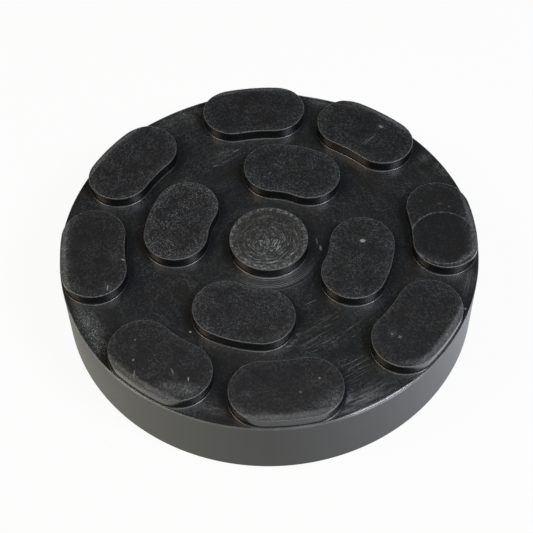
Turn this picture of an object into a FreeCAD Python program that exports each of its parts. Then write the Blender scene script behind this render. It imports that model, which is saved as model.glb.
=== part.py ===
import FreeCAD, Part
import math
import os

# Lift arm rubber pad: a thick moulded rubber disc whose top face carries raised grip studs.
# One round stud stands in the middle, a ring of four curved studs around it, and a ring of
# eight curved studs, in four pairs, along the rim. The whole pad is one piece of solid rubber.
# Lengths are in millimetres and angles in degrees. The origin is the centre of the flat
# underside, +Z points up through the studs, and +X passes through a stud of the inner ring.

# Disc that carries the studs
pad_diameter = 130.0
body_height = 22.8
underside_bevel = 0.6
rim_bevel = 0.15

# What all studs share
stud_height = 3.8
stud_foot_bevel = 0.3
stud_edge_bevel = 0.2

# Outer ring: a narrow land is left between the rim and the outer wall of these studs.
# Their top falls away towards the rim in a shallow cone.
pair_count = 4
outer_pair_half_angle = 20.5
outer_stud_sweep = 14.3
rim_land = 0.5
shoulder_width = 2.4
shoulder_drop = 0.45

# Inner ring: one stud stands on the centre line of each outer pair
ring_channel = 5.6
inner_stud_sweep = 22.7

# Middle: the round stud and the channel round it
centre_stud_diameter = 24.5
centre_channel = 6.65

# The stud solids start this far inside the disc, and the shoulder cutter clears them by as much
overlap = 1.0

# An edge is looked at in this many points, and points nearer than this count as being at one place
points_per_edge = 5
same_place = 0.01

full_turn = 360
pad_radius = pad_diameter / 2
stud_top = body_height + stud_height
centre_stud_radius = centre_stud_diameter / 2
inner_wall_radius = centre_stud_radius + centre_channel
outer_wall_radius = pad_radius - rim_land

# The two rings of curved studs share what the channels leave of the radius. Here that makes them
# 20 mm wide, the width of the round cutter that sank them in the mould.
ring_count = 2
stud_width = (outer_wall_radius - inner_wall_radius - ring_channel) / ring_count
half_width = stud_width / 2
outer_ring_radius = outer_wall_radius - half_width
inner_ring_radius = inner_wall_radius + half_width


def at_angle(radius, angle, height):
    """Point at a distance from the pad's axis, in a direction given in degrees."""
    turn = math.radians(angle)
    return FreeCAD.Vector(radius * math.cos(turn), radius * math.sin(turn), height)


def along_arc(radius, start, end, height):
    """Arc about the pad's axis between two directions."""
    middle = (start + end) / 2
    points = [at_angle(radius, angle, height) for angle in (start, middle, end)]
    return Part.Arc(*points).toShape()


def round_end(ring_radius, angle, side, height):
    """Half circle that closes a curved stud at one end; side is +1 ahead of it, -1 behind it."""
    ahead = at_angle(side * half_width, angle + 90, 0)
    outer = at_angle(ring_radius + half_width, angle, height)
    inner = at_angle(ring_radius - half_width, angle, height)
    tip = at_angle(ring_radius, angle, height) + ahead
    first, last = (outer, inner) if side > 0 else (inner, outer)
    return Part.Arc(first, tip, last).toShape()


def curved_stud(ring_radius, direction, sweep):
    """Stud of constant width bent along a ring, with half round ends, as an end mill cuts its pocket."""
    root = body_height - overlap
    start = direction - sweep / 2
    end = direction + sweep / 2
    outline = Part.Wire([
        along_arc(ring_radius + half_width, start, end, root),
        round_end(ring_radius, end, 1, root),
        along_arc(ring_radius - half_width, end, start, root),
        round_end(ring_radius, start, -1, root),
    ])
    return eased(Part.Face(outline).extrude(FreeCAD.Vector(0, 0, stud_top - root)))


def centre_stud():
    """Round stud on the pad's axis."""
    root = body_height - overlap
    return eased(Part.makeCylinder(centre_stud_radius, stud_top - root, FreeCAD.Vector(0, 0, root)))


def eased(stud):
    """Stud with the sharp edge round its top just broken."""
    return stud.makeChamfer(stud_edge_bevel, level_edges(stud, stud_top, pad_radius))


def outer_studs():
    """Pairs of studs along the rim, with their tops cut back to the sloping shoulder."""
    studs = []
    for middle in pair_directions():
        for side in (-1, 1):
            direction = middle + side * outer_pair_half_angle
            studs.append(curved_stud(outer_ring_radius, direction, outer_stud_sweep))
    cutter = shoulder_cutter()
    return [stud.cut(cutter) for stud in studs]


def inner_studs():
    """Studs of the inner ring, one for each outer pair."""
    return [curved_stud(inner_ring_radius, middle, inner_stud_sweep) for middle in pair_directions()]


def pair_directions():
    """Directions of the outer pairs' centre lines, evenly spaced from +X."""
    return [pair * full_turn / pair_count for pair in range(pair_count)]


def shoulder_cutter():
    """Ring above the sloping shoulder of the outer studs, turned about the pad's axis."""
    start = outer_wall_radius - shoulder_width
    reach = shoulder_width + overlap
    low = stud_top - shoulder_drop * reach / shoulder_width
    corners = [
        FreeCAD.Vector(start, 0, stud_top),
        FreeCAD.Vector(start + reach, 0, low),
        FreeCAD.Vector(start + reach, 0, stud_top + overlap),
        FreeCAD.Vector(start, 0, stud_top + overlap),
    ]
    return turned(corners)


def disc_body():
    """Plain disc with its two outer edges just broken, turned from its half section."""
    corners = [
        FreeCAD.Vector(0, 0, 0),
        FreeCAD.Vector(pad_radius - underside_bevel, 0, 0),
        FreeCAD.Vector(pad_radius, 0, underside_bevel),
        FreeCAD.Vector(pad_radius, 0, body_height - rim_bevel),
        FreeCAD.Vector(pad_radius - rim_bevel, 0, body_height),
        FreeCAD.Vector(0, 0, body_height),
    ]
    return turned(corners)


def turned(corners):
    """Solid of revolution about the pad's axis, from the corners of its half section."""
    section = Part.Face(Part.makePolygon(corners + corners[:1]))
    return section.revolve(FreeCAD.Vector(0, 0, 0), FreeCAD.Vector(0, 0, 1), full_turn)


def level_edges(solid, height, widest):
    """Edges of a solid that lie at one height and nearer to the pad's axis than a given distance."""
    chosen = []
    for edge in solid.Edges:
        points = edge.discretize(points_per_edge)
        level = all(abs(point.z - height) < same_place for point in points)
        inside = all(math.hypot(point.x, point.y) < widest - same_place for point in points)
        if level and inside:
            chosen.append(edge)
    return chosen


def rubber_pad():
    """Disc and studs joined into one solid, with a small bevel in the corner at each stud's foot."""
    pad = disc_body().fuse([centre_stud()] + inner_studs() + outer_studs()).removeSplitter()
    feet = level_edges(pad, body_height, pad_radius - rim_bevel)
    return pad.makeChamfer(stud_foot_bevel, feet)


os.makedirs("parts", exist_ok=True)
pad = rubber_pad()
print("volume", pad.Volume, "faces", len(pad.Faces), "solids", len(pad.Solids), "valid", pad.isValid())
pad.exportStep("parts/rubber_pad.step")
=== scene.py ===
import bpy
import math
import numpy as np
from mathutils import Matrix, Vector
from mathutils.geometry import delaunay_2d_cdt


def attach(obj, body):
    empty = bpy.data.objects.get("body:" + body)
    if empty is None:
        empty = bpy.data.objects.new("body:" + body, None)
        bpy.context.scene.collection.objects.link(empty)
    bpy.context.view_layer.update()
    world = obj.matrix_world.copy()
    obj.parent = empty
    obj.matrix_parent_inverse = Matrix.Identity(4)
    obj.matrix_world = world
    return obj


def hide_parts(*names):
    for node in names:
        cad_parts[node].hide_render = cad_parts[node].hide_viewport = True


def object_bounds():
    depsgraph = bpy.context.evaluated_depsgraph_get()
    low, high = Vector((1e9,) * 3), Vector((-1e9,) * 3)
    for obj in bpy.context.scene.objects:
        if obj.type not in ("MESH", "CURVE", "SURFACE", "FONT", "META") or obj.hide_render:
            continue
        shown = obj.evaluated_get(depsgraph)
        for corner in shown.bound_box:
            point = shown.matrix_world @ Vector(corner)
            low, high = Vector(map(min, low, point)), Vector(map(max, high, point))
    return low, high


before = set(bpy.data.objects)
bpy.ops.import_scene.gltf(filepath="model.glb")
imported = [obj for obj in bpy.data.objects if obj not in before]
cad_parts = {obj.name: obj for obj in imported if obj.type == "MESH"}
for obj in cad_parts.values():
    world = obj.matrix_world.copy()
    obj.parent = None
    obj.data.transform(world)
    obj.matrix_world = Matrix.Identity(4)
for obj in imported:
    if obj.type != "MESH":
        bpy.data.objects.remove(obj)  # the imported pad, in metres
cadLow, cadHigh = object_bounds()
print("frame loaded, box", tuple(cadLow), tuple(cadHigh))

mm = 0.001  # sizes below are in millimetres, meshes are in metres
fullTurn = 2 * math.pi

# The pad is one moulding: a disc with thirteen studs on its top face.
pad = {
    "radius": cadHigh.x / mm,
    "studTop": cadHigh.z / mm,
    "studHeight": 3.8,
    "rimRounding": 0.2,  # where the side wall meets the top face
    # where no stud stands near the rim it is rounder and paler: middle and half width in degrees, how
    # much rounder and how much paler. At -45 and -112 degrees the paler rim is a painted highlight,
    # elsewhere dust
    "rimWornAndLit": [
        (-45.0, 11.2, 0.5, 2.4), (90.0, 7.0, 0.75, 0.6), (135.0, 10.0, 0.35, 0.6), (-135.0, 11.0, 0.15, 1.0),
        (-112.0, 9.0, 0.0, 1.6),
    ],
    "rimWaves": (7, 19, 37, 83, 131),  # the rounding swings round the disc in these wave counts
    "rimWander": 0.03,
    "rimLeast": 0.1,
    "underRounding": 0.6,  # where the side wall meets the underside
    "roundingSteps": 4,  # facets across each rounding
    "settle": 0.03,  # a ring laid this close to a rounding keeps its shading from running on
    "aroundDisc": 720,
    "sideRows": 6,
    "sideMargin": 0.1,  # from the last of these rows to the rounding of the rim
    "undersideRings": (12.0, 38.0, 55.0),
    "undersideMargin": 0.4,
    "sideWave": 0.05,  # how far the side wall wanders inwards from a true cylinder
    "sideWaves": ((3, 0.2), (5, 0.11)),  # waves round the disc, and how much each turns per mm of height
    "faceWave": 0.05,  # how far the top face and the stud tops sag below true flat
    "faceWaveLength": 21.0,
    "topWaveLength": 17.0,
    "faceGrid": 1.15,  # spacing of the points that fill the top face
    "faceMargin": 0.35,  # and how far they stay from any stud or from the rim
    "samePoint": 1e-7,  # flat points this close are one point
}
pad["faceHeight"] = pad["studTop"] - pad["studHeight"]

# The studs, as a round cutter sinks them in the mould: it plunges, runs along an arc and stops.
stud = {
    "width": 20.0,
    "outerRing": 54.5,
    "outerSweep": 14.3,
    "pairHalfAngle": 20.5,
    "innerRing": 28.9,
    "innerSweep": 22.7,
    "pairs": 4,
    "centreRadius": 12.25,
    "foot": 0.45,  # fillet where the wall meets the top face, and the least of it beside the rim
    "footAtRim": 0.2,
    "rimClear": 0.3,  # the fillet ends this far inside the rim
    "edge": 0.25,  # rounding round the top, on average
    "edgeWaves": (9, 17, 29, 43, 61),
    "edgeSway": 0.042,  # how far that rounding swings between sharp and worn, its least and its most
    "edgeLeast": 0.12,
    "edgeMost": 0.32,
    "wallRow": 1.3,  # rows on the wall: one this far above the foot, one this far below the edge
    "wallMargin": 0.2,
    "arcSteps": 26,
    "endSteps": 52,
    "centreSteps": 176,
    "edgeBand": 3.0,  # the outer part of a top has close rings, the inner part wide ones
    "edgeRings": 9,
    "innerRings": 8,
    "centreRings": 56,
    "ringGap": 0.05,  # the first of these rings stays this far inside the rounding
    "rimLand": 0.5,  # from the rim to the outer studs
    "shoulder": 2.4,  # worn slope along the rim: how wide, and how deep at the rim
    "shoulderDrop": 0.45,
    "shoulderKnee": 0.18,  # how soft it begins, as a share of its width
    "shoulderWaves": (31, 47, 73, 112),
    "shoulderWander": 0.28,
    "turnedDepth": 0.02,  # tool marks left on the centre stud
    "turnedWaves": (5.1, 2.3, 1.7),  # radians per mm of the marks, of their beat and of their sway
    "turnedSway": 2.0,
}

# Photo's view: the camera's place is worked out from a fit to the pad's outline
view = {
    "turn": 16.43,  # degrees round from the view along +Y
    "down": 53.90,
    "roll": -1.450,
    "distance": 408.28,
    "aimRight": -0.888,  # where it looks on the plane of the top face, from the pad's axis
    "aimAway": -8.03,
    "focal": 89.57,
    "sensor": 36.0,
    "near": 0.01,  # metres
}


# Wear, dust and some painted light and shade, as seen on the pad. Places are millimetres on the pad, turns
# are degrees from +X.
wear = {
    "outerDust": [0.8, 0.6, 1.0, 0.9, 1.1, 0.75, 0.8, 0.65],  # dust on each stud's top, round from +X
    "innerDust": [1.05, 1.15, 1.45, 1.1],
    "dustAndLightToward": -68.0,  # dust and a painted highlight at feet that face along this line, one way or the other
    "dustAndLightSpan": (0.45, 0.9),  # cosine of the angle to it where that begins, and where it is full
    "glow": 0.28,  # pale strip beside those feet, part dust and part painted light: how pale, and how many mm it reaches
    "glowReach": 2.2,
    "dark": 0.5,  # painted shadow: a dark strip beside walls that face across the line
    "darkReach": 3.0,
    "edgeLeast": 0.9,  # wear and painted highlight of the top edges that face across the line, against 1 along it
    # each patch: x, y, half length, half width, turn of its length, strength
    "topPatches": [
        (-8, -58, 2.8, 1.4, 10, 1.1), (-13.3, -58.4, 3, 1.2, 15, 0.9), (-13.5, -54.6, 1.4, 0.6, -40, 0.35),
        (-20.3, -56.5, 2, 0.6, 20, 0.2), (-17, -51.4, 1.2, 0.8, 0, 0.25), (-24.7, -57.6, 0.5, 1.6, 0, 0.25),
        (33.6, -50.6, 2, 3.6, 20, 0.75), (30.4, -52.6, 2.6, 1.8, 22, 0.6), (26, -57, 5, 1.2, 22, 0.35),
        (8.7, -55.3, 1.6, 1, 0, 0.35), (14.5, -60.5, 5, 1.2, 10, 0.3), (27.3, -46, 3, 1.5, 30, 0.2),
        (60.6, -20, 1.3, 5, -17, 0.36), (57.8, -28.4, 1.3, 5, -27, 0.35), (44.2, -24.9, 1.2, 1.2, 0, 0.4),
        (59.6, 21, 2.2, 7, 20, 0.6), (61.5, 13, 1.6, 4, 10, 0.6), (50, 5, 7, 1.2, -10, 0.4),
        (-60.6, -18.5, 1.6, 6, 17, 0.55), (-57.5, -26.5, 1.8, 4.5, 25, 0.5), (-61.5, -9, 1.4, 4, 8, 0.3),
        (-43.9, -18.4, 1.5, 2.5, 0, 0.25), (-42.1, -30, 1.5, 1.5, 0, 0.4), (-56, 29, 2, 5, -28, 0.3),
        (-48, 40, 5, 2, -40, 0.25), (27, 57.5, 8, 1.5, -25, 0.45), (-12, 61, 7, 1.4, 8, 0.2),
        (23.6, 53.9, 1, 1, 0, 0.7), (60, 8.2, 3, 0.8, 58, 1.6), (52.3, -32.6, 3.2, 0.8, 29, 0.6),
        (-10.5, -60.2, 2.5, 1, 12, 0.45), (8, -60.6, 2.2, 0.7, -32, 0.5), (12, 60.4, 2.5, 1, -5, 0.45),
        (-52, -32.4, 3, 0.9, -25, 0.45),
    ],
    "facePatches": [
        (-43.3, -42.3, 2.2, 5.5, 45, 0.9), (-38.6, -48.4, 2, 4, 52, 0.8), (-48.5, -39, 1.3, 5.5, 38, 0.4),
        (0.5, -60.8, 3.6, 1.3, 0, 0.55), (-3, -57.8, 1.8, 1.6, 0, 0.3), (41.1, -45.6, 6.5, 2.4, 42, 0.95),
        (37.2, -50.3, 3, 1.4, 38, 0.6), (-41.2, 45.2, 6, 3, -43, 0.6), (-46, 40.5, 3, 3, -43, 0.5),
        (0.4, 62.6, 3.5, 1.2, 0, 0.8), (0, 55.5, 5, 4.5, 0, 0.16), (62.3, 2, 1.5, 7, 0, 0.4),
        (40.3, 48.5, 1.6, 5, -40, 0.35), (10.7, 21.3, 3, 2, 0, 0.3), (-24, 33, 6, 2, 30, 0.25),
        (12, -13.5, 4.5, 1.5, 45, 0.08), (-17.5, -22, 6, 1, -50, 0.25), (16.3, -31.4, 3.6, 0.7, 74, 1.5),
        (36.4, -47, 0.9, 3, 0, 2.8), (20, 41, 6, 3, -25, -0.2), (-38, 49, 2.5, 1.2, -40, 0.7),
        (46.6, 43.4, 3, 1.2, -47, 0.45), (-60.5, 4, 2, 3, 0, 0.15),
    ],
}

random = np.random.default_rng(41)


def wander(angle, waves, strength):
    # A smooth closed curve about zero, mostly within strength: sines of whole wave counts, random phases
    phase = random.uniform(0, fullTurn, len(waves))
    total = sum(np.sin(angle * count + shift) for count, shift in zip(waves, phase))
    return strength * total / math.sqrt(len(waves))


def unevenness(x, y, reach, strength):
    # A gently rolling surface: twelve plane waves in random directions, from zero down to minus strength
    direction = random.uniform(0, fullTurn, 12)
    phase = random.uniform(0, fullTurn, 12)
    length = reach * random.uniform(0.6, 1.6, 12)
    along = x[..., None] * np.cos(direction) + y[..., None] * np.sin(direction)
    total = np.sin(fullTurn * along / length + phase).mean(-1)
    return -strength * (0.5 - total.clip(-0.5, 0.5))


def slotLine(ringRadius, direction, sweep):
    # Outline of a stud as two arrays: the nearest point on its centre line, and the way outwards.
    # Out along the arc, half a turn about its end, back along the arc, half a turn about its start.
    arc = np.linspace(-0.5, 0.5, stud["arcSteps"] + 1) * math.radians(sweep)
    half = np.linspace(0, math.pi, stud["endSteps"] + 1)[1:-1]
    spot = np.concatenate([arc, np.full(half.size, arc[-1]), arc[::-1], np.full(half.size, arc[0])])
    way = np.concatenate([arc, arc[-1] + half, arc[::-1] + math.pi, arc[0] + math.pi + half])
    turn = math.radians(direction)
    centre = ringRadius * np.stack([np.cos(spot + turn), np.sin(spot + turn)], -1)
    return centre, np.stack([np.cos(way + turn), np.sin(way + turn)], -1)


def roundLine(count):
    # Outline of anything turned about the axis: its centre line is one point
    angle = np.arange(count) * fullTurn / count
    return np.zeros((count, 2)), np.stack([np.cos(angle), np.sin(angle)], -1)


class Skin:
    # Gathers points, triangles and the values that the materials read
    def __init__(self):
        self.points, self.faces, self.kinds = [], [], []
        names = ("edgeWear", "footDust", "dustOfStud", "fromEdge", "patch", "shade")
        self.values = {name: [] for name in names}
        self.count = 0

    def addPoints(self, places, **values):
        first = self.count
        self.points.append(places)
        self.count += len(places)
        for name, store in self.values.items():
            store.append(values.get(name, np.zeros(len(places))))
        return first + np.arange(len(places))

    def addFaces(self, faces, kind):
        whole = (faces[:, 0] != faces[:, 1]) & (faces[:, 1] != faces[:, 2]) & (faces[:, 2] != faces[:, 0])
        self.faces.append(faces[whole])
        self.kinds.append(np.full(whole.sum(), kind))


def stripFaces(rows):
    # Triangles between the rings of a stack: rows holds the point numbers, ring by ring
    here, ahead = rows, np.roll(rows, -1, axis=1)
    a, b, c, d = here[:-1], ahead[:-1], ahead[1:], here[1:]
    return np.concatenate([np.stack([a, b, c], -1).reshape(-1, 3), np.stack([a, c, d], -1).reshape(-1, 3)])


def quarter(steps):
    # Sine and cosine over a quarter turn, as columns
    angle = np.linspace(0, math.pi / 2, steps + 1)[:, None]
    return np.sin(angle), np.cos(angle)


def shoulderFall(x, y):
    # How far the worn shoulder has dropped at a point: nothing inside its border, then a slope with a soft
    # knee. The border wanders about its circle.
    angle = np.arctan2(y, x)
    radius = np.hypot(x, y)
    edge = pad["radius"] - stud["rimLand"]
    border = edge - stud["shoulder"] + wander(angle, stud["shoulderWaves"], stud["shoulderWander"])
    share = ((radius - border) / (edge - border)).clip(0, None)
    knee = stud["shoulderKnee"]
    soft = (np.sqrt(share ** 2 + knee ** 2) - knee) / (math.sqrt(1 + knee ** 2) - knee)
    return stud["shoulderDrop"] * soft


def patchValue(x, y, patches):
    # Sum of soft round spots, each strongest in its middle and gone two half sizes away:
    # strength times e to the power of minus the squared distance, measured in half sizes
    total = np.zeros_like(x)
    for across, up, long, short, turn, strength in patches:
        angle = math.radians(turn)
        u = ((x - across) * math.cos(angle) + (y - up) * math.sin(angle)) / long
        v = ((y - up) * math.cos(angle) - (x - across) * math.sin(angle)) / short
        total = total + strength * np.exp(-(u ** 2 + v ** 2))
    return total


def footShade(way, distance):
    # The top face is paler at a foot on the dusty side, part dust and part painted light, and darker
    # beside walls that face across it, a painted shadow. Both fade out over a few millimetres.
    front, aside = dustAndLightSides(way)
    glow = wear["glow"] * front * np.exp(-distance / wear["glowReach"])
    dark = wear["dark"] * aside * np.exp(-distance / wear["darkReach"])
    return glow - dark


def dustAndLightSides(way):
    # How far a wall facing this way has a pale foot, dust and painted highlight, with a soft border, and how
    # far it faces across
    turn = math.radians(wear["dustAndLightToward"])
    front = np.abs(way @ np.array([math.cos(turn), math.sin(turn)]))
    start, full = wear["dustAndLightSpan"]
    share = ((front - start) / (full - start)).clip(0, 1)
    return share ** 2 * (3 - 2 * share), 1 - front ** 2


def addStud(skin, ringRadius, direction, sweep, outer, dustLevel):
    # A stud is its outline carried up a profile: foot fillet, wall, top rounding, then rings that shrink to
    # the centre line. Each row says how far the ring reaches from the centre line and how high it lies.
    if sweep:
        centre, way = slotLine(ringRadius, direction, sweep)
        reach = stud["width"] / 2
        inner = np.concatenate([
            reach - np.linspace(0, stud["edgeBand"], stud["edgeRings"] + 1)[1:],
            np.linspace(reach - stud["edgeBand"], 0, stud["innerRings"] + 1)[1:],
        ])
    else:
        centre, way = roundLine(stud["centreSteps"])
        reach = stud["centreRadius"]
        inner = np.linspace(reach, 0, stud["centreRings"] + 1)[2:]
    inner = inner[inner < reach - stud["edgeMost"] - stud["ringGap"]]
    count = len(centre)
    around = np.arange(count) * fullTurn / count
    sine, cosine = quarter(pad["roundingSteps"])
    settle = pad["settle"]
    wall = np.hypot(*(centre + way * reach).T)
    foot = (pad["radius"] - stud["rimClear"] - wall).clip(stud["footAtRim"], stud["foot"])
    edge = stud["edge"] + wander(around, stud["edgeWaves"], stud["edgeSway"])
    edge = edge.clip(stud["edgeLeast"], stud["edgeMost"])
    lastRow = pad["studHeight"] - stud["edge"] - stud["wallMargin"]
    wallRows = np.array([stud["foot"] + settle, stud["foot"] + stud["wallRow"], lastRow])[:, None]
    low, high = pad["faceHeight"], pad["studTop"]
    ones = np.ones(count)
    reaches = np.concatenate([
        [reach + foot + settle],
        reach + foot - foot * sine,
        reach * np.ones((len(wallRows), 1)) * ones,
        reach - edge + edge * cosine,
        [reach - edge - settle],
        inner[:, None] * ones,
    ])
    heights = np.concatenate([
        [low * ones],
        low + foot - foot * cosine,
        low + wallRows * ones,
        high - edge + edge * sine,
        [high * ones],
        high * np.ones((len(inner), 1)) * ones,
    ])
    rows = len(reaches)
    flat = centre[None] + way[None] * reaches[..., None]
    x, y = flat[..., 0], flat[..., 1]
    rise = (heights - low) / pad["studHeight"]
    heights = heights + unevenness(x, y, pad["topWaveLength"], pad["faceWave"]) * rise ** 2
    if outer:
        heights = heights - shoulderFall(x, y) * rise ** 2
    if not sweep:
        radius = np.hypot(x, y)
        marks, beat, sway = (radius * waves for waves in stud["turnedWaves"])
        groove = 0.5 + 0.5 * np.sin(marks + stud["turnedSway"] * np.sin(sway)) * np.sin(beat)
        heights = heights - stud["turnedDepth"] * groove * (rise > 0.999)
    wornAndHighlit, dust = np.zeros((rows, count)), np.zeros((rows, count))
    firstEdge = 1 + len(sine) + len(wallRows)
    front, _ = dustAndLightSides(way)
    # top edges that face along the line are paler: wear, and partly a painted highlight
    wornAndHighlit[firstEdge:firstEdge + len(sine)] = wear["edgeLeast"] + (1 - wear["edgeLeast"]) * front
    # feet that face along the line get a pale line in the fillet: dust, and partly a painted highlight
    dust[1:1 + len(sine)] = front
    patches = patchValue(x, y, wear["topPatches"])
    shade = footShade(way, 0.0) * np.ones((rows, 1))
    # the last ring lies on the centre line, where places that coincide are one point
    _, first, joined = np.unique(np.round(flat[-1], 5), axis=0, return_index=True, return_inverse=True)
    joined = joined.ravel()
    body = slice(0, rows - 1)

    def both(grid):
        width = grid.shape[2:]
        return np.concatenate([grid[body].reshape((-1,) + width), grid[-1][first]])

    spots = np.concatenate([flat, heights[..., None]], -1)
    numbers = skin.addPoints(
        both(spots), edgeWear=both(wornAndHighlit), footDust=both(dust), patch=both(patches), shade=both(shade),
        fromEdge=both(reach - reaches), dustOfStud=np.full((rows - 1) * count + len(first), dustLevel),
    )
    split = (rows - 1) * count
    grid = np.concatenate([numbers[:split].reshape(-1, count), [numbers[split:][joined]]])
    topRow = firstEdge + len(sine) - 1
    skin.addFaces(stripFaces(grid[:topRow + 1]), 1)
    skin.addFaces(stripFaces(grid[topRow:]), 3 if not sweep else 2)
    return grid[0]


def addDisc(skin):
    # The disc is turned: a profile from the middle of the underside out, up the side wall and over the rim
    count = pad["aroundDisc"]
    _, way = roundLine(count)
    around = np.arange(count) * fullTurn / count
    sine, cosine = quarter(pad["roundingSteps"])
    radius, under, settle, top = pad["radius"], pad["underRounding"], pad["settle"], pad["faceHeight"]
    rim = pad["rimRounding"] + wander(around, pad["rimWaves"], pad["rimWander"])
    rim = rim.clip(pad["rimLeast"], pad["rimRounding"])
    # a paler rim: a painted highlight at -45 and -112 degrees, dust at the others
    palerRim = np.ones(count)
    for middle, spread, more, dust in pad["rimWornAndLit"]:
        # a bell with a flat top: e to the power of minus the fourth power of the turn, in half widths
        off = (around - math.radians(middle) + math.pi) % fullTurn - math.pi
        share = np.exp(-(off / math.radians(spread)) ** 4)
        rim = rim + more * share
        palerRim = palerRim + dust * share
    ones = np.ones(count)
    wall = np.linspace(under + settle, top - rim.max() - pad["sideMargin"], pad["sideRows"])[:, None]
    flatRows = np.array([*pad["undersideRings"], radius - under - pad["undersideMargin"]])[:, None]
    reaches = np.concatenate([
        flatRows * ones,
        radius - under + under * sine * ones,
        radius * np.ones((len(wall), 1)) * ones,
        radius - rim + rim * cosine,
        [radius - rim - settle],
    ])
    heights = np.concatenate([
        0 * flatRows * ones,
        under - under * cosine * ones,
        wall * ones,
        top - rim + rim * sine,
        [top * ones],
    ])
    rows = len(reaches)
    wave = math.prod(np.sin(around * waves + heights * lean) for waves, lean in pad["sideWaves"])
    share = heights / top
    reaches = reaches - pad["sideWave"] * (0.5 + 0.5 * wave) * 4 * share * (1 - share)
    flat = way[None] * reaches[..., None]
    wornAndHighlit = np.zeros((rows, count))
    wornAndHighlit[-1 - len(sine):-1] = palerRim
    spots = np.concatenate([flat, heights[..., None]], -1)
    patches = patchValue(flat[..., 0], flat[..., 1], wear["facePatches"])
    numbers = skin.addPoints(spots.reshape(-1, 3), edgeWear=wornAndHighlit.ravel(), patch=patches.ravel())
    grid = numbers.reshape(rows, count)
    pole = skin.addPoints(np.zeros((1, 3)))
    skin.addFaces(stripFaces(np.concatenate([np.repeat(pole, count)[None], grid])), 0)
    return grid[-1]


def insideLoop(spots, loop):
    # A spot lies inside a closed line that a level ray from it towards +X crosses an odd number of times
    ahead = np.roll(loop, -1, axis=0)
    x, y = spots[:, :1], spots[:, 1:]
    rise = ahead[:, 1] - loop[:, 1]
    spans = (loop[:, 1] > y) != (ahead[:, 1] > y)
    crossing = loop[:, 0] + (y - loop[:, 1]) * (ahead[:, 0] - loop[:, 0]) / np.where(rise == 0, 1, rise)
    return (spans & (x < crossing)).sum(1) % 2 == 1


def addFace(skin, rim, feet, outlines):
    # The top face fills what is left between the rim and the studs' feet, by triangles over an even
    # scatter of points
    points = np.concatenate(skin.points)
    step = pad["faceGrid"]
    reach = pad["radius"] - pad["rimRounding"] - pad["faceMargin"]
    lines = np.arange(-reach, reach, step * math.sqrt(0.75))
    across = np.arange(-reach, reach, step)
    x, y = np.meshgrid(across, lines)
    x = x + step / 2 * (np.arange(len(lines)) % 2)[:, None]
    x, y = x.ravel(), y.ravel()
    gap = np.full(x.shape, np.inf)
    way = np.zeros((x.size, 2))
    for centre, limit in outlines:
        offset = np.stack([x, y], -1)[:, None] - centre[None]
        away = np.hypot(offset[..., 0], offset[..., 1])
        nearest = away.argmin(1)
        here = np.arange(x.size)
        near = away[here, nearest] - limit
        closer = near < gap
        way[closer] = (offset[here, nearest] / away[here, nearest][:, None])[closer]
        gap = np.minimum(gap, near)
    keep = (np.hypot(x, y) < reach) & (gap > pad["faceMargin"])
    x, y, gap, way = x[keep], y[keep], gap[keep], way[keep]
    sag = unevenness(x, y, pad["faceWaveLength"], pad["faceWave"])
    inner = skin.addPoints(
        np.stack([x, y, pad["faceHeight"] + sag], -1),
        patch=patchValue(x, y, wear["facePatches"]), shade=footShade(way, gap),
    )
    loops = [rim] + feet
    numbers = np.concatenate(loops + [inner])
    flat = np.concatenate([points[np.concatenate(loops), :2], np.stack([x, y], -1)])
    edges, start = [], 0
    for loop in loops:
        here = start + np.arange(len(loop))
        edges.append(np.stack([here, np.roll(here, -1)], -1))
        start += len(loop)
    corners = [Vector(spot) for spot in flat]
    made = delaunay_2d_cdt(corners, np.concatenate(edges).tolist(), [], 0, pad["samePoint"])
    source = np.array([ids[0] for ids in made[3]])
    faces = source[np.array(made[2])]
    middle = flat[faces].mean(1)
    inside = insideLoop(middle, points[rim, :2])
    for foot in feet:
        inside &= ~insideLoop(middle, points[foot, :2])
    faces = faces[inside]
    a, b, c = flat[faces[:, 0]], flat[faces[:, 1]], flat[faces[:, 2]]
    left = (b[:, 0] - a[:, 0]) * (c[:, 1] - a[:, 1]) - (b[:, 1] - a[:, 1]) * (c[:, 0] - a[:, 0]) < 0
    faces[left] = faces[left][:, ::-1]
    skin.addFaces(numbers[faces], 1)


def centreLine(ringRadius, direction, sweep, count=90):
    # Points along a stud's centre line, close enough together to measure a distance from it
    angle = math.radians(direction) + np.linspace(-0.5, 0.5, count) * math.radians(sweep)
    return ringRadius * np.stack([np.cos(angle), np.sin(angle)], -1)


def placed(name, data):
    made = bpy.data.objects.new(name, data)
    bpy.context.scene.collection.objects.link(made)
    return made


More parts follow.
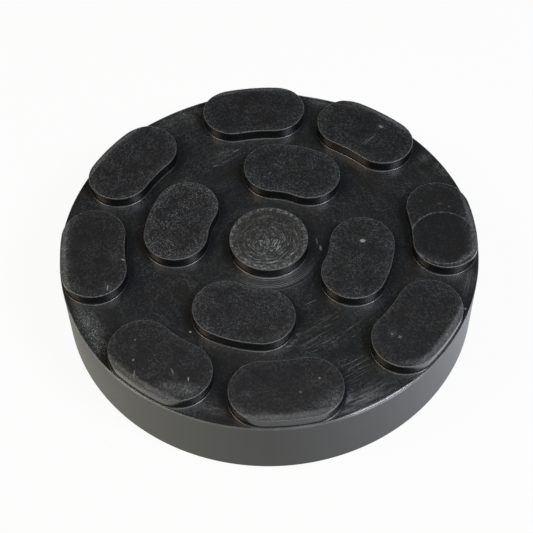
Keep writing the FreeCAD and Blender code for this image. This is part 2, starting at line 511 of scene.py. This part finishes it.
def makePad():
    skin = Skin()
    rim = addDisc(skin)
    feet, outlines = [], []
    half = stud["width"] / 2 + stud["foot"]
    for pair in range(stud["pairs"]):
        middle = pair * 360 / stud["pairs"]
        for side in (-1, 1):
            direction = middle + side * stud["pairHalfAngle"]
            dustLevel = wear["outerDust"][2 * pair + (side > 0)]
            feet.append(addStud(skin, stud["outerRing"], direction, stud["outerSweep"], True, dustLevel))
            outlines.append((centreLine(stud["outerRing"], direction, stud["outerSweep"]), half))
        dustLevel = wear["innerDust"][pair]
        feet.append(addStud(skin, stud["innerRing"], middle, stud["innerSweep"], False, dustLevel))
        outlines.append((centreLine(stud["innerRing"], middle, stud["innerSweep"]), half))
    feet.append(addStud(skin, 0.0, 0.0, 0.0, False, 1.0))
    outlines.append((np.zeros((1, 2)), stud["centreRadius"] + stud["foot"]))
    addFace(skin, rim, feet, outlines)
    points = np.concatenate(skin.points) * mm
    faces = np.concatenate(skin.faces)
    mesh = bpy.data.meshes.new("rubberPadMesh")
    mesh.from_pydata(points.tolist(), [], faces.tolist())
    mesh.polygons.foreach_set("material_index", np.concatenate(skin.kinds).astype(np.int32))
    mesh.polygons.foreach_set("use_smooth", np.ones(len(faces), bool))
    for name, parts in skin.values.items():
        layer = mesh.attributes.new(name, "FLOAT", "POINT")
        layer.data.foreach_set("value", np.concatenate(parts).astype(np.float32))
    mesh.update()
    piece = placed("rubberPad", mesh)
    print("pad made:", len(points), "points,", len(faces), "triangles")
    return piece


def linear(code):
    # sRGB hex to the linear colour that a shader takes
    parts = [int(code[i:i + 2], 16) / 255 for i in (1, 3, 5)]
    return [p / 12.92 if p <= 0.04045 else ((p + 0.055) / 1.055) ** 2.4 for p in parts] + [1.0]


def add(kind, links=None, tree=None, **settings):
    # One node with its settings, in the tree that its inputs come from if none is given. Each input is set
    # to a value or joined to a node's output: the first one, where a whole node is given.
    tree = tree or next(value.id_data for value in links.values() if hasattr(value, "id_data"))
    made = tree.nodes.new("ShaderNode" + kind)
    for name, value in settings.items():
        setattr(made, name, value)
    for name, value in (links or {}).items():
        if isinstance(value, bpy.types.Node):
            value = value.outputs[0]
        if isinstance(value, bpy.types.NodeSocket):
            tree.links.new(value, made.inputs[name])
        else:
            made.inputs[name].default_value = value
    return made


def times(product, *factors):
    for factor in factors:
        product = add("Math", {0: product, 1: factor}, operation="MULTIPLY")
    return product


def plus(total, more, share=1.0):
    # The total and a share of something more
    return add("Math", {0: more, 1: share, 2: total}, operation="MULTIPLY_ADD")


def ranged(value, span, soft=False):
    # A value carried over from one span to another. Four numbers are the ends of both, and two are those of
    # the first, with zero to one as the second.
    links = {0: value, **dict(zip((1, 2, 3, 4), span))}
    return add("MapRange", links, interpolation_type="SMOOTHSTEP" if soft else "LINEAR")


def between(share, span):
    # From the start to the end of a span, as the share goes from zero to one
    return ranged(share, (0.0, 1.0, *span))


def noise(place, form, **links):
    # A form is the size of the noise, its detail and its roughness
    size, detail, roughness = form
    return add("TexNoise", {
        "Vector": place, "Scale": 1 / size, "Detail": detail, "Roughness": roughness, **links,
    })


def blend(share, first, second):
    return add("Mix", {0: share, 6: first, 7: second}, data_type="RGBA").outputs[2]


def attribute(tree, name):
    return add("Attribute", tree=tree, attribute_name=name).outputs["Fac"]


def measured(operation, first, second=(0, 0, 0)):
    # The number that a vector operation gives
    return add("VectorMath", {0: first, 1: second}, operation=operation).outputs["Value"]


def offBy(value, middle):
    # How far a value lies from the middle, either way
    off = add("Math", {0: value, 1: middle}, operation="SUBTRACT")
    return add("Math", {0: off}, operation="ABSOLUTE")


def drawnRound(way, radius, width, turns):
    # Where to read a noise that is drawn out round the axis: the height is the radius in widths, and the
    # direction moves the place level, the slower the fewer the turns
    height = add("CombineXYZ", {2: times(radius, 1 / width)})
    return add("VectorMath", {0: way, 1: (turns, turns, 0), 2: height}, operation="MULTIPLY_ADD")


def toward(way, turn, size=1.0):
    # Cosine of the angle between a direction and a turn from +X, where the direction has that size
    turn = math.radians(turn)
    return measured("DOT_PRODUCT", way, (math.cos(turn) / size, math.sin(turn) / size, 0))


def newMaterial(name):
    material = bpy.data.materials.new(name)
    material.use_nodes = True
    material.node_tree.nodes.clear()
    return material, material.node_tree


# What the rubber looks like. A pixel of the photo covers 0.3 mm, so grain finer than that is left out.
film = {
    "shadedWall": "#08080a",  # clean moulded rubber of the stud walls, darkened as painted shade
    "dust": "#868c8e",
    "ior": 1.65,  # rubber filled with carbon black
    "dullAt": 0.25,  # this share of dust makes it as dull as it gets
    "rubbedRoughness": 0.22,  # edges and corners are rubbed smoother than the rest
    # size of the noise in mm, its detail and roughness, from where to where in it the mask goes from zero to
    # one, and whether softly. Granules are sharp and pale, and lie in clusters.
    "masks": {
        "cast": ((13.0, 2.0, 0.6), (0.4, 0.6), True),
        "blotch": ((6.0, 3.0, 0.55), (0.35, 0.7), True),
        "fine": ((0.85, 3.0, 0.7), (0.47, 0.67), False),
        "granule": ((0.42, 1.0, 0.7), (0.54, 0.72), False),
        "cluster": ((5.0, 2.0, 0.6), (0.36, 0.64), False),
    },
    "grain": (0.45, 1.0, 0.5),
    "grainHeight": 0.006,  # mm
    "speckSize": 5.0,  # one cell in some holds a speck
    "speckChance": (0.3, 0.09),
    "speckRadius": 0.16,
    "speckBorder": (1.3, 0.7),  # it fades out between these shares of its radius
    "markBorder": (1.0, 0.45),  # and a listed mark between these
}


def strokes(place, marks):
    # Small listed marks, each an ellipse with a soft border: the place is moved, turned and scaled so
    # that the ellipse becomes a unit circle, and the mark fades with the distance from its middle
    total = None
    for across, up, long, short, turn, strength in marks:
        shape = add("Mapping", {
            "Vector": place, "Location": (across, up, 0), "Rotation": (0, 0, math.radians(turn)),
            "Scale": (long, short, 1),
        }, vector_type="TEXTURE")
        mark = ranged(measured("LENGTH", shape), (*film["markBorder"], 0.0, strength), True)
        total = mark if total is None else add("Math", {0: total, 1: mark}, operation="MAXIMUM")
    return total


def mottling(tree):
    # Patterns that every surface shares: the place in millimetres, the same place on the flat, its distance
    # and direction from the axis, and masks from zero to one for blotches, fine dust, granules and specks
    spot = add("TexCoord", tree=tree)
    place = add("VectorMath", {0: spot.outputs["Object"], 3: 1 / mm}, operation="SCALE")
    made = {"place": place}
    made["flat"] = add("VectorMath", {0: place, 1: (1, 1, 0)}, operation="MULTIPLY")
    made["radius"] = measured("LENGTH", made["flat"])
    made["way"] = add("VectorMath", {0: made["flat"]}, operation="NORMALIZE")
    for name, (form, span, soft) in film["masks"].items():
        made[name] = ranged(noise(place, form), span, soft)
    made["granules"] = times(made["granule"], made["cluster"])
    made["grain"] = noise(place, film["grain"])
    cells = add("TexVoronoi", {"Vector": place, "Scale": 1 / film["speckSize"], "Randomness": 1.0})
    size = film["speckRadius"] / film["speckSize"]
    dot = ranged(cells.outputs["Distance"], [size * share for share in film["speckBorder"]])
    chance = add("SeparateColor", {0: cells.outputs["Color"]})
    made["specks"] = times(dot, ranged(chance, film["speckChance"]))
    return made


def rubberFinish(tree, made, dust, rubbed, height, look, shadedWallShare=0.0):
    # Dust lies on the rubber as a paler and duller film. The bare colour swings from a cool to a warm cast.
    out = add("OutputMaterial", tree=tree)
    cast = blend(made["cast"], linear(look["cool"]), linear(look["warm"]))
    # steep faces take the darker wall colour, which is painted shade
    body = blend(shadedWallShare, cast, linear(film["shadedWall"]))
    colour = blend(dust, body, linear(film["dust"]))
    dull = ranged(dust, (0.0, film["dullAt"], look["roughness"], look["dullRoughness"]))
    polish = ranged(rubbed, (0.0, 1.0))
    dull = add("Mix", {0: polish, 2: dull, 3: film["rubbedRoughness"]}, data_type="FLOAT")
    bump = add("Bump", {"Height": height, "Distance": mm, "Strength": 1.0})
    shader = add("BsdfPrincipled", {
        "Base Color": colour, "Roughness": dull, "Normal": bump, "IOR": film["ior"],
    })
    tree.links.new(shader.outputs[0], out.inputs["Surface"])


def grainHeight(made, share=1.0):
    # Height of the moulded grain in millimetres
    return times(made["grain"], film["grainHeight"] * share)


# Side of the disc and its underside: plain satin rubber. Faint upright bands from the mould, thin dust, and
# pale patches along the rim, which are dust, and at -45 and -112 degrees a painted highlight.
side = {
    "cool": "#18181a", "warm": "#1b1a19", "roughness": 0.46, "dullRoughness": 0.6,
    "band": (2.2 / pad["radius"], 2.0, 0.5),  # by the direction alone, so that the bands stand upright
    "bands": (0.4, 0.7, 0.0, 0.012),
    "dust": 0.024,
    "speckDust": 0.08,
    "edgeDustAndHighlight": 0.5,
    "edgePatches": (0.45, 1.0),
    "grain": 0.5,
}


def mouldedSideRubber():
    material, tree = newMaterial("mouldedSideRubber")
    made = mottling(tree)
    band = noise(made["way"], side["band"])
    dust = plus(ranged(band, side["bands"]), made["fine"], side["dust"])
    dust = plus(dust, made["specks"], side["speckDust"])
    # pale rim: dust, and at -45 and -112 degrees a painted highlight
    wornAndHighlit = times(attribute(tree, "edgeWear"), between(made["blotch"], side["edgePatches"]))
    dust = plus(dust, wornAndHighlit, side["edgeDustAndHighlight"])
    rubberFinish(tree, made, dust, wornAndHighlit, grainHeight(made, side["grain"]), side)
    return material


# Top face and stud walls: a dusty film on whatever faces up, deep black walls whose darker colour is
# painted shade, pale lines along the feet that are part dust and part painted highlight, a painted shadow
# beside walls that face across, scratches, and turning lines round the middle. A swing is what a mask goes
# between. Four numbers are the ends of a span in a pattern and what they turn to, and two turn to zero and
# one.
face = {
    "cool": "#0f1115", "warm": "#141413", "roughness": 0.3, "dullRoughness": 0.44,
    "level": (0.3, 0.9),  # height of the normal where a wall ends and where the level face begins
    "film": 0.024,  # even dust, on top of which come the patterns
    "dust": 0.08,
    "dustSwing": (0.25, 1.5),
    "granuleDust": 0.3,
    "granuleSwing": (0.75, 0.1),
    "streak": (1.1, 5),  # streaks that run round the axis: width, and how often they change on the way
    "streakForm": (1.0, 2.0, 0.5),
    "streaks": (0.5, 0.75, 0.0, 0.03),
    "stroke": (0.7, 7),  # strokes that the patches are made of
    "strokeForm": (1.0, 2.0, 0.6),
    "strokes": (0.42, 0.66, 0.15, 1.4),
    "strokeFine": 0.7,
    "granular": (10.0, -20.0, 0.0, 0.8),  # how granular patches are instead, by their place along X
    "granularShares": (4.0, 0.15),  # of granules, and of even dust
    "patchDust": 0.36,
    "glowDustAndLight": 0.16,
    "shadowBesideWalls": (0.0, -0.5, 1.0, 0.2),
    "footDust": 0.1,
    "footSwing": (0.4, 1.0),
    "edgeDustAndHighlight": 0.2,
    "speckDust": 0.9,
    "speckShare": 0.45,  # strength of the scattered specks against the listed ones
    "scratchTurn": 47.0,
    "scratchSize": (16.0, 0.38, 1),
    "scratchForm": (1.0, 1.0, 0.5),
    "scratchSpan": (0.56, 0.7),
    "scratchSwing": (0.8, 1.7),
    "scratchDust": 0.2,
    # single scratches that stand out of the bundles, in the form of the patches above
    "singleSwing": (0.5, 1.7),
    "scratches": [
        (17.9, -17.4, 2.9, 0.17, 43, 0.42), (26.1, -29.7, 2.4, 0.17, 41, 0.4),
        (32.1, -22.7, 3.6, 0.15, 54, 0.3), (22.8, -34.2, 2.4, 0.15, 36, 0.25),
        (24.6, -24.5, 1.9, 0.17, 47, 0.28), (34.4, -35.1, 4.1, 0.15, 45, 0.34),
        (35.7, -36.2, 3.8, 0.17, 46, 0.42), (38.1, -35.9, 3.2, 0.16, 41, 0.34),
        (35.2, -41.4, 1.2, 0.15, 40, 0.35), (21.1, -33.4, 1.1, 0.17, 31, 0.34),
        (27.6, -29.6, 1.5, 0.14, 42, 0.28), (33.2, -25.9, 1.4, 0.15, 50, 0.28),
    ],
    "scratchPlaces": [
        (24, -26.5, 12, 5, 50, 1), (37, -37, 11, 6, 48, 1), (17.5, -17.5, 4, 1.5, 47, 0.9),
        (-24, 31, 7, 4, 35, 0.8),
    ],
    "ringWidth": 0.3,
    "ringSpan": (0.52, 0.64),
    "ringReach": (19.0, 15.5),
    "ringDust": 0.6,
    "ringToward": -64.0,  # they show best on this side of the middle
    "ringSide": (0.6, 0.97, 0.05, 1.0),
    "specks": [
        (-14.2, -36.9, 0.5, 0.45, 0, 1), (63.3, -8, 0.4, 0.6, 0, 0.7), (15.8, 3.2, 0.4, 1.2, 20, 0.8),
        (14, 5.6, 0.25, 1.8, 25, 0.35), (-20.6, 35.1, 1.6, 0.3, 50, 0.5), (-25.4, 27.1, 1.4, 0.3, 45, 0.4),
    ],
}


def topFaceRubber():
    material, tree = newMaterial("topFaceRubber")
    made = mottling(tree)
    fine, blotch, flat, radius, way = (made[name] for name in ("fine", "blotch", "flat", "radius", "way"))
    normal = add("SeparateXYZ", {0: add("NewGeometry", tree=tree).outputs["Normal"]})
    level = ranged(normal.outputs[2], face["level"], True)
    # dust: fine mottling, more of it in slow blotches
    dust = plus(face["film"], times(fine, between(blotch, face["dustSwing"])), face["dust"])
    grains = times(made["granules"], between(made["cast"], face["granuleSwing"]))
    dust = plus(dust, grains, face["granuleDust"])
    # streaks that run round the axis: noise of the radius that changes slowly with the direction
    streak = noise(drawnRound(way, radius, *face["streak"]), face["streakForm"])
    dust = plus(dust, ranged(streak, face["streaks"]))
    # patches: drawn out round the axis, but granular on the -X side
    stroke = noise(drawnRound(way, radius, *face["stroke"]), face["strokeForm"])
    stroke = plus(ranged(stroke, face["strokes"]), fine, face["strokeFine"])
    granules, even = face["granularShares"]
    grainy = plus(plus(fine, made["granules"], granules), even)
    west = ranged(add("SeparateXYZ", {0: flat}), face["granular"])
    broken = add("Mix", {0: west, 2: stroke, 3: grainy}, data_type="FLOAT")
    dust = plus(dust, times(attribute(tree, "patch"), broken), face["patchDust"])
    # scratches: noise drawn out along one direction, kept inside a few places, and single strokes
    turned = add("Mapping", {
        "Vector": flat, "Rotation": (0, 0, math.radians(face["scratchTurn"])),
        "Scale": face["scratchSize"],
    }, vector_type="TEXTURE")
    lines = ranged(noise(turned, face["scratchForm"]), face["scratchSpan"])
    broken = between(fine, face["scratchSwing"])
    lines = times(lines, strokes(flat, face["scratchPlaces"]), broken)
    dust = plus(dust, lines, face["scratchDust"])
    single = strokes(flat, face["scratches"])
    dust = plus(dust, times(single, between(fine, face["singleSwing"])))
    # turning lines round the centre stud, only in some directions
    across = times(radius, 1 / face["ringWidth"])
    ring = add("TexNoise", {"W": across, "Scale": 1.0, "Detail": 1.0}, noise_dimensions="1D")
    near = ranged(radius, face["ringReach"], True)
    some = ranged(toward(way, face["ringToward"]), face["ringSide"])
    ring = times(ranged(ring, face["ringSpan"]), near, some)
    dust = plus(dust, ring, face["ringDust"])
    # a pale strip beside the dusty feet, part dust and part painted light, and a painted shadow beside the
    # other walls
    shade = attribute(tree, "shade")
    glow = add("Math", {0: shade, 1: 0.0}, operation="MAXIMUM")
    dust = times(plus(dust, glow, face["glowDustAndLight"]), ranged(shade, face["shadowBesideWalls"]))
    # none of it stays on walls, only the dust and painted highlight in the corner at the foot, and specks
    dust = times(dust, level)
    foot = times(attribute(tree, "footDust"), between(blotch, face["footSwing"]))
    dust = plus(dust, foot, face["footDust"])
    # pale top edges: wear, and partly a painted highlight
    dust = plus(dust, attribute(tree, "edgeWear"), face["edgeDustAndHighlight"])
    specks = times(made["specks"], level)
    specks = plus(strokes(flat, face["specks"]), specks, face["speckShare"])
    dust = plus(dust, specks, face["speckDust"])
    # the walls' darker colour is painted shade
    wall = add("Math", {0: 1.0, 1: level}, operation="SUBTRACT")
    rubberFinish(tree, made, dust, plus(foot, wall), grainHeight(made), face, wall)
    return material


# Tops of the curved studs: rubbed smooth and dark in the middle, a paler dusty border, a worn band along
# the rim, smudges, specks and ticks, and an arc where the cutter of the mould plunged
top = {
    "cool": "#0a0c12", "warm": "#0c0d0f", "roughness": 0.43, "dullRoughness": 0.66,
    "film": 0.006,
    "dust": 0.078,
    "dustSwing": (0.35, 1.2),
    "granuleDust": 0.24,
    "border": (4.2, 0.8),  # mm from the edge, where the border has faded out and where it is full
    "borderRagged": 2.0,
    "borderSwing": (0.25, 1.5),
    "borderDust": 0.07,
    "drift": (3.2, 3.0, 0.65),  # noise that shifts the band and the ridge, and by how many mm
    "driftReach": 1.8,
    "band": (63.4, 64.1),
    "bandSwing": (0.5, 1.1),
    "bandDust": 0.08,
    "ridge": 64.0,
    "ridgeWidth": (0.9, 0.2),
    "ridgeSwing": (0.5, 1.2),
    "ridgeDust": 0.22,
    "speckle": (0.6, 1.0, 0.5),
    "speckleSpan": (0.5, 0.64, 0.4, 1.4),
    "speckleFine": 0.6,
    "patchDust": 0.24,
    # the clear arc: where its middle and its line are, how the line fades across, and how much of the dust
    # stays inside it
    "plungeAt": (52.2, 13.9, 0),
    "plungeRadius": 10.0,
    "plungeLine": (0.32, 0.08, 0.0, 0.4),
    "plungeSwing": (0.2, 1.2),
    "plungeInside": (9.8, 10.4, 0.6, 1.0),
    "edgeBlotches": (0.65, 1.1),
    "edgeSwing": (0.8, 1.5),
    "edgeDustAndHighlight": 1.0,
    "speckShare": 0.4,
    "speckDust": 1.0,
    "marks": [
        (-28.1, -46, 0.35, 0.35, 0, 0.5), (-26.4, -52.7, 0.4, 0.5, 0, 0.6), (-9, -54.8, 0.25, 0.9, 15, 0.9),
        (-24.7, -57, 0.3, 1.6, 10, 0.35), (-14.3, -53.4, 0.3, 1.4, 40, 0.35),
        (27.3, -44.9, 0.4, 0.35, 0, 0.7), (23.2, -50.8, 0.35, 0.35, 0, 0.5), (46.7, -25.3, 1, 0.3, 30, 0.4),
        (46.7, -25.3, 0.9, 0.3, 120, 0.3), (44.2, -24.9, 0.35, 0.35, 0, 0.6),
        (42.6, 26.4, 0.5, 0.5, 0, 0.06), (-41, -19.2, 0.3, 0.8, 80, 0.9),
        (-42.1, -30.4, 0.25, 1.3, 10, 0.8), (28.3, 6.4, 1.1, 0.8, 10, 1), (23.6, 53.9, 1, 0.5, -20, 0.5),
        (21.2, 47.2, 3.4, 0.22, 65, 0.3), (20, 46.4, 2.4, 0.2, 65, 0.2), (-16.6, 32, 0.4, 0.4, 0, 0.7),
        (48.4, 26.8, 0.9, 0.5, 0, 0.1), (51.5, 26.4, 0.5, 0.4, 0, 0.22),
    ],
}


def studTopRubber():
    material, tree = newMaterial("wornStudRubber")
    made = mottling(tree)
    fine, blotch, flat = (made[name] for name in ("fine", "blotch", "flat"))
    dust = plus(top["film"], times(fine, between(blotch, top["dustSwing"])), top["dust"])
    # granules: a dusty stud has far more of them than a clean one
    level = attribute(tree, "dustOfStud")
    dust = plus(dust, times(made["granules"], level), top["granuleDust"])
    # border: the nearer to the edge, the more of the mottling turns to dust
    ragged = plus(attribute(tree, "fromEdge"), blotch, top["borderRagged"])
    border = times(ranged(ragged, top["border"], True), between(fine, top["borderSwing"]))
    dust = times(plus(dust, border, top["borderDust"]), level)
    # worn band along the rim, with a ragged inner border and a broken ridge of speckles where it begins
    drift = noise(made["place"], top["drift"])
    wandering = plus(made["radius"], drift, top["driftReach"])
    uneven = between(blotch, top["bandSwing"])
    band = times(ranged(wandering, top["band"], True), uneven)
    dust = plus(dust, band, top["bandDust"])
    ridge = ranged(offBy(wandering, top["ridge"]), top["ridgeWidth"], True)
    ridge = times(ridge, between(fine, top["ridgeSwing"]), uneven)
    dust = plus(dust, ridge, top["ridgeDust"])
    # smudges
    speckle = ranged(noise(made["place"], top["speckle"]), top["speckleSpan"])
    speckle = plus(speckle, fine, top["speckleFine"])
    dust = plus(dust, times(attribute(tree, "patch"), speckle), top["patchDust"])
    # clear arc on one stud, darker inside it
    away = measured("DISTANCE", flat, top["plungeAt"])
    line = ranged(offBy(away, top["plungeRadius"]), top["plungeLine"])
    dust = times(dust, ranged(away, top["plungeInside"]))
    dust = plus(dust, times(line, between(fine, top["plungeSwing"])))
    # rubbed edge, partly a painted highlight, listed marks and specks
    patchy = times(between(blotch, top["edgeBlotches"]), between(fine, top["edgeSwing"]))
    wornAndHighlit = times(attribute(tree, "edgeWear"), patchy)
    dust = plus(dust, wornAndHighlit, top["edgeDustAndHighlight"])
    specks = plus(strokes(flat, top["marks"]), made["specks"], top["speckShare"])
    dust = plus(dust, specks, top["speckDust"])
    rubberFinish(tree, made, dust, wornAndHighlit, grainHeight(made), top)
    return material


# Top of the centre stud: fine turning arcs about a point a little off the axis, pale with dust, a rough
# flecked middle and a broken pale border
centre = {
    "cool": "#0c0e0c", "warm": "#10110d", "roughness": 0.6, "dullRoughness": 0.8,
    "turnedAbout": (-0.5, -1.0, 0),
    "wobble": (4.0, 0.0, 0.5),  # noise that bends the arcs, and by how many mm
    "wobbleReach": 1.2,
    "arcs": (1.0, 2.0, 0.65),
    "arcWidth": 0.3,
    "arcTurns": 1.4,  # the larger, the shorter the arcs
    "arcSpan": (0.51, 0.62),
    "arcsToward": -50.0,  # they are clearest on this side
    "arcSide": (-0.6, 0.8, 0.35, 1.25),
    "arcFade": (10.8, 8.8, 0.35, 1.0),  # and fade out towards the border
    "arcHeight": 0.02,
    "arcDust": 0.8,
    "uneven": (1 / 0.3, 2.0, 0.6),
    "unevenSpan": (0.4, 0.6, 0.35, 1.25),
    "dashSwing": (0.5, 1.5),
    "dust": 0.11,
    "flecks": (1 / 1.5, 2.0, 0.6),
    "fleckBend": 0.6,
    "fleckSpan": (0.59, 0.67),
    "middle": (6.0, 2.4),
    "middleDust": 0.8,
    "border": (2.2, 0.6),
    "borderSwing": (0.15, 2.2),
    "borderDust": 0.3,
    "edgeDustAndHighlight": 0.5,
}


def centreStudRubber():
    material, tree = newMaterial("turnedCentreRubber")
    made = mottling(tree)
    fine, flat = made["fine"], made["flat"]
    # arcs: noise drawn out round the point that the stud was turned about
    away = measured("DISTANCE", flat, centre["turnedAbout"])
    bent = plus(away, noise(flat, centre["wobble"]), centre["wobbleReach"])
    about = add("VectorMath", {0: flat, 1: centre["turnedAbout"]}, operation="SUBTRACT")
    about = add("VectorMath", {0: about}, operation="NORMALIZE")
    about = drawnRound(about, bent, centre["arcWidth"], centre["arcTurns"])
    arcs = noise(about, centre["arcs"])
    shown = ranged(toward(about, centre["arcsToward"], centre["arcTurns"]), centre["arcSide"])
    fade = ranged(away, centre["arcFade"])
    uneven = ranged(noise(flat, centre["uneven"]), centre["unevenSpan"])
    dashes = between(fine, centre["dashSwing"])
    dust = times(ranged(arcs, centre["arcSpan"]), shown, fade, uneven, dashes, centre["arcDust"])
    dust = plus(dust, fine, centre["dust"])
    # flecks in the middle
    fleck = noise(flat, centre["flecks"], Distortion=centre["fleckBend"])
    fleck = times(ranged(fleck, centre["fleckSpan"]), ranged(away, centre["middle"]))
    dust = plus(dust, fleck, centre["middleDust"])
    # border and edge
    border = ranged(attribute(tree, "fromEdge"), centre["border"], True)
    border = times(border, between(fine, centre["borderSwing"]))
    dust = plus(dust, border, centre["borderDust"])
    # pale edge: wear, and partly a painted highlight
    wornAndHighlit = attribute(tree, "edgeWear")
    dust = plus(dust, wornAndHighlit, centre["edgeDustAndHighlight"])
    height = plus(grainHeight(made), arcs, centre["arcHeight"])
    rubberFinish(tree, made, dust, wornAndHighlit, height, centre)
    return material


piece = makePad()
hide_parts("rubber_pad")
for maker in (mouldedSideRubber, topFaceRubber, studTopRubber, centreStudRubber):
    piece.data.materials.append(maker())
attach(piece, "root")
print("materials made")


def makeCamera():
    turn, down, roll = (math.radians(view[name]) for name in ("turn", "down", "roll"))
    spin = Matrix.Rotation(turn, 3, "Z")
    ahead = Vector((0, math.cos(down), -math.sin(down)))
    upright = Vector((0, math.sin(down), math.cos(down)))
    level = Vector((1, 0, 0))
    right = math.cos(roll) * level + math.sin(roll) * upright
    up = -math.sin(roll) * level + math.cos(roll) * upright
    aim = Vector((view["aimRight"], view["aimAway"], 0))
    place = aim - view["distance"] * ahead
    axes = [spin @ axis for axis in (right, up, -ahead)]
    place = (spin @ place + Vector((0, 0, pad["faceHeight"]))) * mm
    data = bpy.data.cameras.new("photoCamera")
    data.lens = view["focal"]
    data.sensor_width = view["sensor"]
    data.clip_start = view["near"]
    camera = placed("photoCamera", data)
    turned = Matrix(axes).transposed().to_4x4()
    camera.matrix_world = Matrix.Translation(place) @ turned
    bpy.context.scene.camera = camera


makeCamera()

# Studio: a pale floor, a dim ceiling, and large soft lamps
studio = {
    "floorSize": 4.0,  # metres, as are the lamps' distances and sizes
    "floorColour": "#e6e6e6",
    "white": (1, 1, 1, 1),
    "floorShown": 0.93,  # share of the floor's shown brightness that is plain white
    # what the rubber mirrors of the floor, across the photo's view: place from left to right, colour and
    # level. It is dimmer and warmer on the left, brighter and cooler on the right.
    "mirrorReach": 90.0,  # mm either side of the axis
    "mirrored": [
        (0.0, "#f2f3e6", 0.7), (1.0, "#f4f8ff", 1.9), (0.15, "#fcfaec", 1.08), (0.5, "#fdfffa", 0.79),
        (0.82, "#f4f8ff", 1.36),
    ],
    "worldAbove": "#2c2d2e",
    "worldLevel": "#77787a",
    "worldRise": (0.0, 0.8),
    "lamps": {
        # name: turn from the camera, height angle, distance, size, power, colour
        "overhead": (10, 78, 1.0, 0.6, 2.0, "#ffffff"),
        "keyRight": (56, 49, 1.0, 0.36, 5.6, "#f4f7ff"),
        "fillLeft": (-79, 50, 1.0, 0.45, 3.6, "#ffecd6"),
    },
}


def makeFloor():
    half = studio["floorSize"] / 2
    mesh = bpy.data.meshes.new("floorMesh")
    corners = [(-half, -half, 0), (half, -half, 0), (half, half, 0), (-half, half, 0)]
    mesh.from_pydata(corners, [], [(0, 1, 2, 3)])
    floor = placed("floor", mesh)
    material, tree = newMaterial("paleStudioFloor")
    out = add("OutputMaterial", tree=tree)
    matte = add("BsdfDiffuse", {"Color": linear(studio["floorColour"])}, tree)
    spot = add("TexCoord", tree=tree)
    across = add("Mapping", {
        "Vector": spot.outputs["Object"], "Rotation": (0, 0, -math.radians(view["turn"])),
    })
    reach = studio["mirrorReach"] * mm
    across = ranged(add("SeparateXYZ", {0: across}), (-reach, reach))
    ramp = add("ValToRGB", {0: across})
    stops = ramp.color_ramp.elements
    for index, (place, code, level) in enumerate(studio["mirrored"]):
        stop = stops[index] if index < 2 else stops.new(place)
        stop.position = place
        stop.color = [part * level for part in linear(code)]
    path = add("LightPath", tree=tree)
    shown = blend(path.outputs["Is Camera Ray"], ramp, studio["white"])
    white = add("Emission", {"Color": shown, "Strength": 1.0})
    seen = path.outputs["Is Camera Ray"]
    for name in ("Is Glossy Ray", "Is Transmission Ray"):
        seen = add("Math", {0: seen, 1: path.outputs[name]}, operation="MAXIMUM")
    mixed = add("MixShader", {0: times(seen, studio["floorShown"]), 1: matte, 2: white})
    tree.links.new(mixed.outputs[0], out.inputs["Surface"])
    mesh.materials.append(material)


def makeWorld():
    world = bpy.data.worlds.new("studioWorld")
    bpy.context.scene.world = world
    world.use_nodes = True
    tree = world.node_tree
    tree.nodes.clear()
    out = add("OutputWorld", tree=tree)
    place = add("TexCoord", tree=tree)
    parts = add("SeparateXYZ", {0: place.outputs["Generated"]})
    share = ranged(parts.outputs[2], studio["worldRise"])
    tone = blend(share, linear(studio["worldLevel"]), linear(studio["worldAbove"]))
    sky = add("Background", {0: tone, 1: 1.0})
    white = add("Background", {0: studio["white"], 1: 1.0}, tree)
    path = add("LightPath", tree=tree)
    mixed = add("MixShader", {0: path.outputs["Is Camera Ray"], 1: sky, 2: white})
    tree.links.new(mixed.outputs[0], out.inputs["Surface"])


def makeLamps():
    for name, (turn, height, distance, size, power, colour) in studio["lamps"].items():
        data = bpy.data.lights.new(name, "AREA")
        data.shape = "DISK"
        data.size = size
        data.energy = power
        data.color = linear(colour)[:3]
        lamp = placed(name, data)
        around, up = math.radians(view["turn"] + turn), math.radians(height)
        away = Vector((math.sin(around) * math.cos(up), -math.cos(around) * math.cos(up), math.sin(up)))
        turned = away.to_track_quat("Z", "Y").to_matrix().to_4x4()
        lamp.matrix_world = Matrix.Translation(away * distance) @ turned


makeFloor()
makeWorld()
makeLamps()
bpy.context.scene.view_settings.view_transform = "Standard"
print("studio made")
